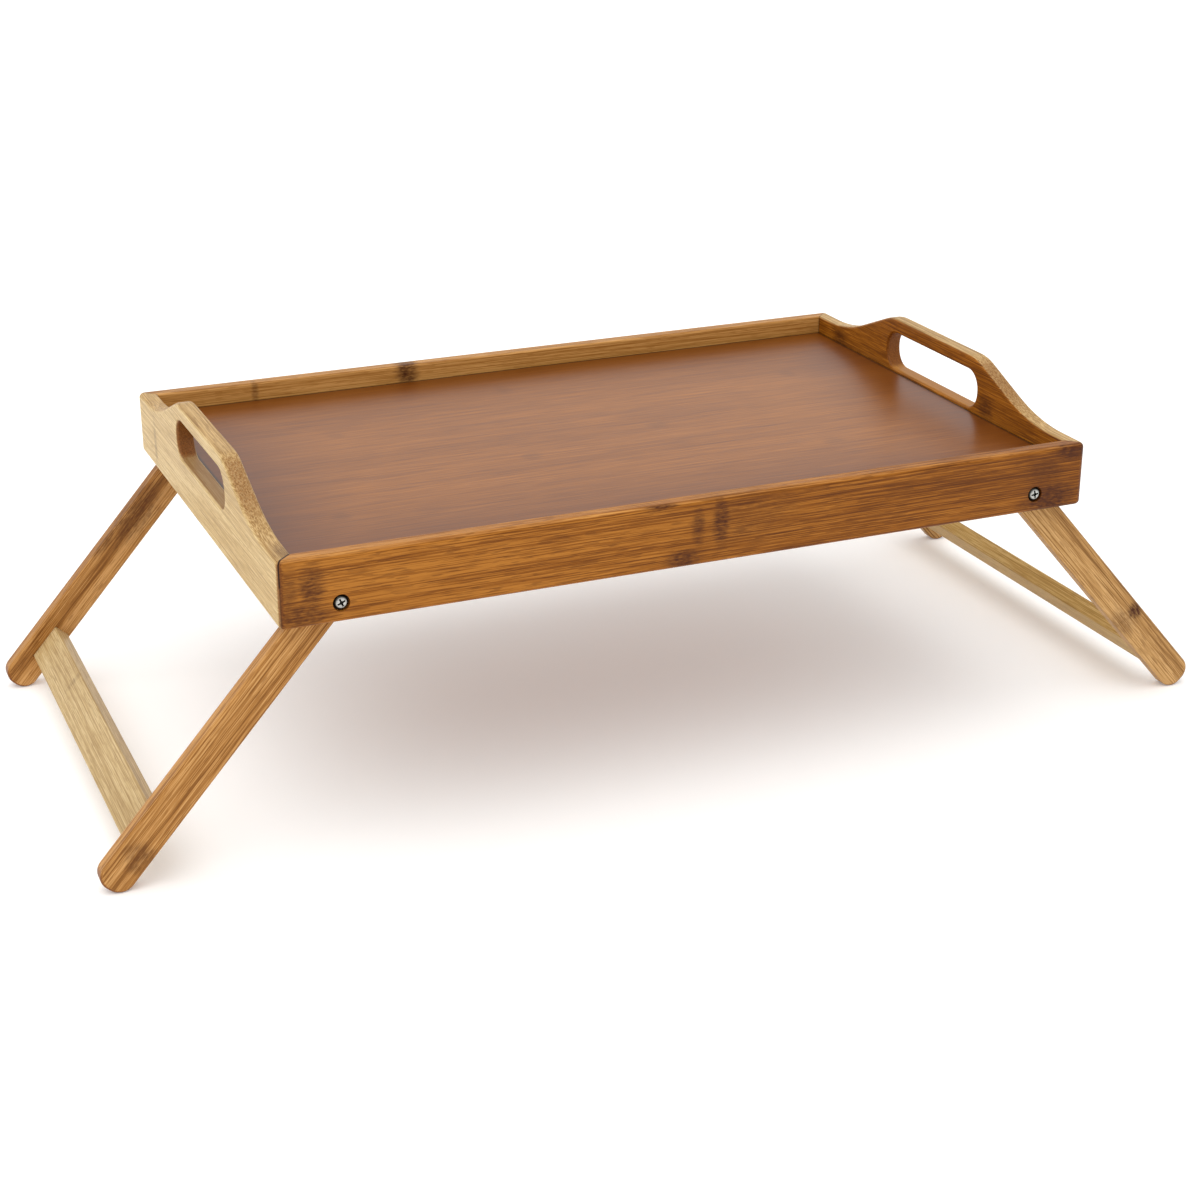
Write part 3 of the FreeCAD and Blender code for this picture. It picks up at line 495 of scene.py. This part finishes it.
# The loose tongues in the mitres are plain bamboo, dull with glue.
tongue = bamboo("bare_bamboo_tongue", HONEY, ALONG_Y, 91, rough=0.6)
for end in ("left", "right"):
    for face in ("front", "back"):
        dress(f"corner_spline_{end}_{face}", tongue)


# ---------------------------------------------------------------- floor panel

# Distances from the edge at which painted shade near the boards, and painted shade in the corner under
# them, start and are full.
BOARD_SHADE_SPREAD = (92 * MM, 2 * MM)
CORNER_SHADE_SPREAD = (2.8 * MM, 1.0 * MM)
# Poured lacquer leaves the fibres barely standing.
FILLED_RELIEF = 0.008 * MM
PANEL_MARKS = (
    ((-52, -24, 170.3), 7, 7, 0.25),
    ((43, 2, 170.3), 8, 6, 0.25),
    ((-150, 60, 170.3), 6, 5, 0.22),
    ((130, -70, 170.3), 7, 6, 0.22),
    ((-20, 110, 170.3), 6, 8, 0.22),
    ((170, 70, 170.3), 6, 7, 0.22),
    ((-190, -80, 170.3), 6, 7, 0.22),
)


def nearest_edge(tree, place, end, side):
    """How far inside an edge a point of the panel is, for edges this far from the middle."""
    folded = add(tree, "VectorMath", (place.outputs["Object"],), operation="ABSOLUTE")
    parts = add(tree, "SeparateXYZ", (folded,)).outputs
    to_end = add(tree, "Math", (end, parts[0]), operation="SUBTRACT")
    to_side = add(tree, "Math", (side, parts[1]), operation="SUBTRACT")
    return add(tree, "Math", (to_end, to_side), operation="MINIMUM")


def lacquered_ply():
    """Bamboo ply under a poured gloss lacquer.

    The veneer is stained red-brown with fine straight fibres; the lacquer mirrors the room and the
    boards round it softly, and fills the fibres so that they barely ripple the shine.
    """
    material, tree = new_material("lacquered_bamboo_ply")
    place, grain = grain_direction(tree, ALONG_X)
    cloud = streaks(tree, grain, 300, 24, 83)
    band = streaks(tree, grain, 220, 4.5, 84)
    fibre = streaks(tree, grain, 80, 1.1, 85, detail=3.0)
    hair = streaks(tree, grain, 26, 0.7, 86)
    tone = toned(tree, ((cloud, 0.5), (band, 0.3), (fibre, 1.0), (hair, 1.3)))
    colour = add(tree, "ValToRGB", (tone,), graded(RED_BROWN))

    frayed = streaks(tree, grain, 5, 2.4, 88, detail=3.0)
    frayed = add(tree, "Math", (frayed, 1.1, -0.55), **SCALE_AND_ADD)
    stain = node_marks(tree, grain, ALONG_X, PANEL_MARKS, frayed)
    # Painted shade and painted reflection of the boards: the panel darkens towards its edges.
    edge = nearest_edge(tree, place, PANEL_END, PANEL_SIDE)
    near_board_shade = add(tree, "MapRange", (edge, *BOARD_SHADE_SPREAD, 0.0, 0.70), **SMOOTH)
    # Painted shade: a thin dark line in the corner under the boards.
    corner = nearest_edge(tree, place, BOARD_END, BOARD_SIDE)
    corner_shade = add(tree, "MapRange", (corner, *CORNER_SHADE_SPREAD, 0.0, 0.85), **SMOOTH)
    for part, shade in ((stain, NODE_STAIN), (near_board_shade, BOARD_PAINTED_SHADE), (corner_shade, CORNER_PAINTED_SHADE)):
        colour = add(tree, "Mix", {BLEND: part, FIRST: colour, SECOND: linear(shade)}, **COLOURS)

    gloss = add(tree, "Math", (fibre, 0.10, 0.26), **SCALE_AND_ADD)
    surface(
        tree,
        {"Base Color": colour, "Roughness": gloss, "IOR": 1.5, "Specular IOR Level": 0.36},
        fibre,
        FILLED_RELIEF,
    )
    return material


dress("tray_panel", lacquered_ply())


# ---------------------------------------------------------------- pivot hardware


def clouded(tree, size, tones, detail=2.0):
    """Fine cloudiness of a size in millimetres: its noise, and its colour between three tones."""
    place = add(tree, "TexCoord")
    inputs = {"Vector": place.outputs["Object"], "Scale": 1 / (size * MM), "Detail": detail}
    cloud = add(tree, "TexNoise", inputs)
    return cloud, add(tree, "ValToRGB", (cloud,), graded(tones))


def zinc_plate(name, rim_shaded=False):
    """Bright zinc plate on steel: a cool, faintly clouded metal.

    On a screw, shade is painted on the rolled edge round the crown, which keeps the bright metal.
    """
    material, tree = new_material(name)
    cloud, colour = clouded(tree, 1.11, ("#7d7c79", "#b4b3ae", "#dcdbd6"), detail=3.0)
    if rim_shaded:
        # Painted shade on the rolled rim of the screw head, where it turns away from the front.
        place = add(tree, "TexCoord")
        facing = add(tree, "SeparateXYZ", (place.outputs["Normal"],)).outputs
        squarely = add(tree, "Math", (facing[1],), operation="ABSOLUTE")
        rim_painted_shade = add(tree, "MapRange", (squarely, 0.96, 0.84), **SMOOTH)
        colour = add(tree, "Mix", {BLEND: rim_painted_shade, FIRST: colour, SECOND: linear("#33312d")}, **COLOURS)
    rough = add(tree, "Math", (cloud, 0.25, 0.16), **SCALE_AND_ADD)
    surface(tree, {"Base Color": colour, "Metallic": 1.0, "Roughness": rough}, cloud, 0.02 * MM)
    return material


def shaded_recess_zinc():
    """Zinc in the bottom of a driver recess, painted almost black as the shade in it."""
    material, tree = new_material("zinc_painted_recess_shade")
    cloud, colour = clouded(tree, 0.67, ("#1d1c1a", "#2b2a28", "#4b4a46"))
    rough = add(tree, "Math", (cloud, 0.3, 0.35), **SCALE_AND_ADD)
    surface(tree, {"Base Color": colour, "Metallic": 1.0, "Roughness": rough})
    return material


def nylon():
    """Moulded black nylon: dull, with a faint cloudiness."""
    material, tree = new_material("moulded_black_nylon")
    cloud, colour = clouded(tree, 2.5, ("#1b1a19", "#222120", "#2c2b29"))
    rough = add(tree, "Math", (cloud, 0.2, 0.4), **SCALE_AND_ADD)
    surface(tree, {"Base Color": colour, "Roughness": rough, "IOR": 1.53}, cloud, 0.01 * MM)
    return material


bright_zinc = zinc_plate("bright_zinc_plated_steel")
shaded_rim_zinc = zinc_plate("shaded_rim_zinc_plated_steel", rim_shaded=True)
painted_recess_shade = shaded_recess_zinc()
black_nylon = nylon()
for end in ("left", "right"):
    for face in ("front", "back"):
        dress(f"pivot_washer_{end}_{face}", bright_zinc)
        dress(f"lock_nut_{end}_{face}", bright_zinc)
        dress(f"pivot_spacer_{end}_{face}", black_nylon)


def mesh_piece(name, shape, material):
    """Turn a finished bmesh into an object at the origin."""
    mesh = bpy.data.meshes.new(name)
    shape.to_mesh(mesh)
    shape.free()
    mesh.materials.append(material)
    piece = bpy.data.objects.new(name, mesh)
    bpy.context.scene.collection.objects.link(piece)
    return piece


# Pan-head screw in millimetres. The curve is radius and depth below the crown, from the middle out
# to the rim of the head.
HEAD_CURVE = ((1.0, 0.02), (1.9, 0.10), (2.6, 0.27), (3.3, 0.62), (3.8, 1.02), (4.03, 1.4), (4.1, 1.75))
HEAD_RADIUS = HEAD_CURVE[-1][0]
HEAD_HEIGHT = 2.4
SHANK_RADIUS = 2.5
TIP_CHAMFER = 0.6
SPIN_STEPS = 72
SHARP_FROM = math.radians(32)
# Driver bit: across its wings, their thickness, its square core, how far it reaches and its taper.
WING_SPAN, WING_THICKNESS = 6.4, 1.3
CORE = 2.7
BIT_LENGTH = 3.4
BIT_TAPER = 0.55
# How far each screw was left turned, in degrees.
SCREW_ANGLES = {"left_front": 24, "left_back": 70, "right_front": 8, "right_back": 51}


def turned(curve, height):
    """Closed body turned about Z from a curve of (radius, depth) that starts and ends on the axis."""
    shape = bmesh.new()
    points = [shape.verts.new((radius * MM, 0, (height - depth) * MM)) for radius, depth in curve]
    outline = [shape.edges.new(pair) for pair in zip(points, points[1:])]
    bmesh.ops.spin(
        shape,
        geom=points + outline,
        cent=(0, 0, 0),
        axis=(0, 0, 1),
        angle=math.tau,
        steps=SPIN_STEPS,
        use_merge=True,
    )
    bmesh.ops.remove_doubles(shape, verts=shape.verts[:], dist=0.001 * MM)
    bmesh.ops.recalc_face_normals(shape, faces=shape.faces[:])
    return shape


def driver_bit(height):
    """Point of a cross-head driver: two tapered wings and the blunt core between them."""
    shape = bmesh.new()
    wings = ((WING_THICKNESS, WING_SPAN, 0), (WING_SPAN, WING_THICKNESS, 0), (CORE, CORE, 45))
    for width, length, turn in wings:
        wing = bmesh.ops.create_cube(shape, size=1)["verts"]
        bmesh.ops.scale(shape, vec=(width * MM, length * MM, BIT_LENGTH * MM), verts=wing)
        matrix = Euler((0, 0, math.radians(turn))).to_matrix()
        bmesh.ops.rotate(shape, cent=(0, 0, 0), matrix=matrix, verts=wing)
        tip = [vert for vert in wing if vert.co.z < 0]
        bmesh.ops.scale(shape, vec=(BIT_TAPER, BIT_TAPER, 1), verts=tip)
    bmesh.ops.translate(shape, vec=(0, 0, height * MM), verts=shape.verts[:])
    # The faces that it cuts take the screw's second finish, painted shade for the recess.
    for face in shape.faces:
        face.material_index = 1
    return shape


def pivot_screw(where, angle):
    """Pan-head pivot screw with a cross recess, its crown towards the outside."""
    node = f"pivot_screw_{where}"
    low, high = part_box(node)
    length = (high[1] - low[1]) / MM
    curve = (
        (0, 0),
        *HEAD_CURVE,
        (HEAD_RADIUS, HEAD_HEIGHT),
        (SHANK_RADIUS, HEAD_HEIGHT),
        (SHANK_RADIUS, length - TIP_CHAMFER),
        (SHANK_RADIUS - TIP_CHAMFER, length),
        (0, length),
    )
    piece = mesh_piece(f"cross_head_screw_{where}", turned(curve, length), shaded_rim_zinc)
    bit = mesh_piece(f"driver_bit_{where}", driver_bit(length), painted_recess_shade)
    piece.data.materials.append(painted_recess_shade)
    bit.data.materials.append(painted_recess_shade)
    # The recess is cut here once, so that the screw is left a plain mesh.
    cut = piece.modifiers.new("cross_recess", "BOOLEAN")
    cut.object = bit
    cut.operation = "DIFFERENCE"
    cut.solver = "EXACT"
    cut.use_self = True
    bpy.context.view_layer.update()
    recessed = piece.evaluated_get(bpy.context.evaluated_depsgraph_get())
    recessed = bpy.data.meshes.new_from_object(recessed)
    piece.modifiers.clear()
    bpy.data.objects.remove(bit)

    at_back = where.endswith("back")
    shape = bmesh.new()
    shape.from_mesh(recessed)
    bpy.data.meshes.remove(recessed)
    for turn in ((0, 0, math.radians(angle)), (math.radians(-90 if at_back else 90), 0, 0)):
        matrix = Euler(turn).to_matrix()
        bmesh.ops.rotate(shape, cent=(0, 0, 0), matrix=matrix, verts=shape.verts[:])
    tip = Vector(((low[0] + high[0]) / 2, low[1] if at_back else high[1], (low[2] + high[2]) / 2))
    bmesh.ops.translate(shape, vec=tip, verts=shape.verts[:])
    for face in shape.faces:
        face.smooth = True
    shape.to_mesh(piece.data)
    shape.free()
    piece.data.set_sharp_from_angle(angle=SHARP_FROM)
    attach(piece, "tray")
    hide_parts(node)


for where, angle in SCREW_ANGLES.items():
    pivot_screw(where, angle)


# ---------------------------------------------------------------- studio

PAPER_SIZE = 30
LIGHT_TURN = (math.radians(14), math.radians(-16), 0)
LIGHT_SPREAD = math.radians(70)
CAMERA_PLACE = (-0.5239, -1.22941, 0.60862)
CAMERA_TURN = (math.radians(67.63), 0, math.radians(-23.19))
SENSOR_WIDTH, FOCAL_LENGTH = 36, 67.57


def studio_floor():
    """Wide sheet of pale matt paper, lit a little from below to soften the shadows."""
    material, tree = new_material("matt_white_paper")
    place = add(tree, "TexCoord")
    inputs = {"Vector": place.outputs["Object"], "Scale": 1 / (17 * MM), "Detail": 3.0}
    tooth = add(tree, "TexNoise", inputs)
    colour = add(tree, "ValToRGB", (tooth,), ((0.0, "#f2f1ef"), (1.0, "#f6f5f3")))
    surface(
        tree,
        {
            "Base Color": colour,
            "Roughness": 0.9,
            "Specular IOR Level": 0.1,
            "Emission Color": linear("#ffffff"),
            "Emission Strength": 0.16,
        },
    )
    shape = bmesh.new()
    bmesh.ops.create_grid(shape, x_segments=2, y_segments=2, size=PAPER_SIZE)
    mesh_piece("studio_floor", shape, material)


def studio_light():
    """Even white room with one wide soft light from the ceiling, a little to the left and in front."""
    world = bpy.data.worlds.new("white_room")
    world.use_nodes = True
    room = world.node_tree.nodes["Background"]
    room.inputs["Color"].default_value = linear("#ffffff")
    room.inputs["Strength"].default_value = 0.9
    bpy.context.scene.world = world
    lamp = bpy.data.lights.new("ceiling_softbox", "SUN")
    lamp.energy = 1.4
    lamp.angle = LIGHT_SPREAD
    light = bpy.data.objects.new("ceiling_softbox", lamp)
    light.rotation_euler = LIGHT_TURN
    bpy.context.scene.collection.objects.link(light)


def camera():
    """Camera at the height of a seated viewer, to the left of the tray's middle."""
    view = bpy.data.cameras.new("camera")
    view.sensor_width = SENSOR_WIDTH
    view.lens = FOCAL_LENGTH
    stand = bpy.data.objects.new("camera", view)
    stand.location = CAMERA_PLACE
    stand.rotation_euler = CAMERA_TURN
    bpy.context.scene.collection.objects.link(stand)
    bpy.context.scene.camera = stand


studio_floor()
studio_light()
camera()
bpy.context.scene.view_settings.view_transform = "Standard"
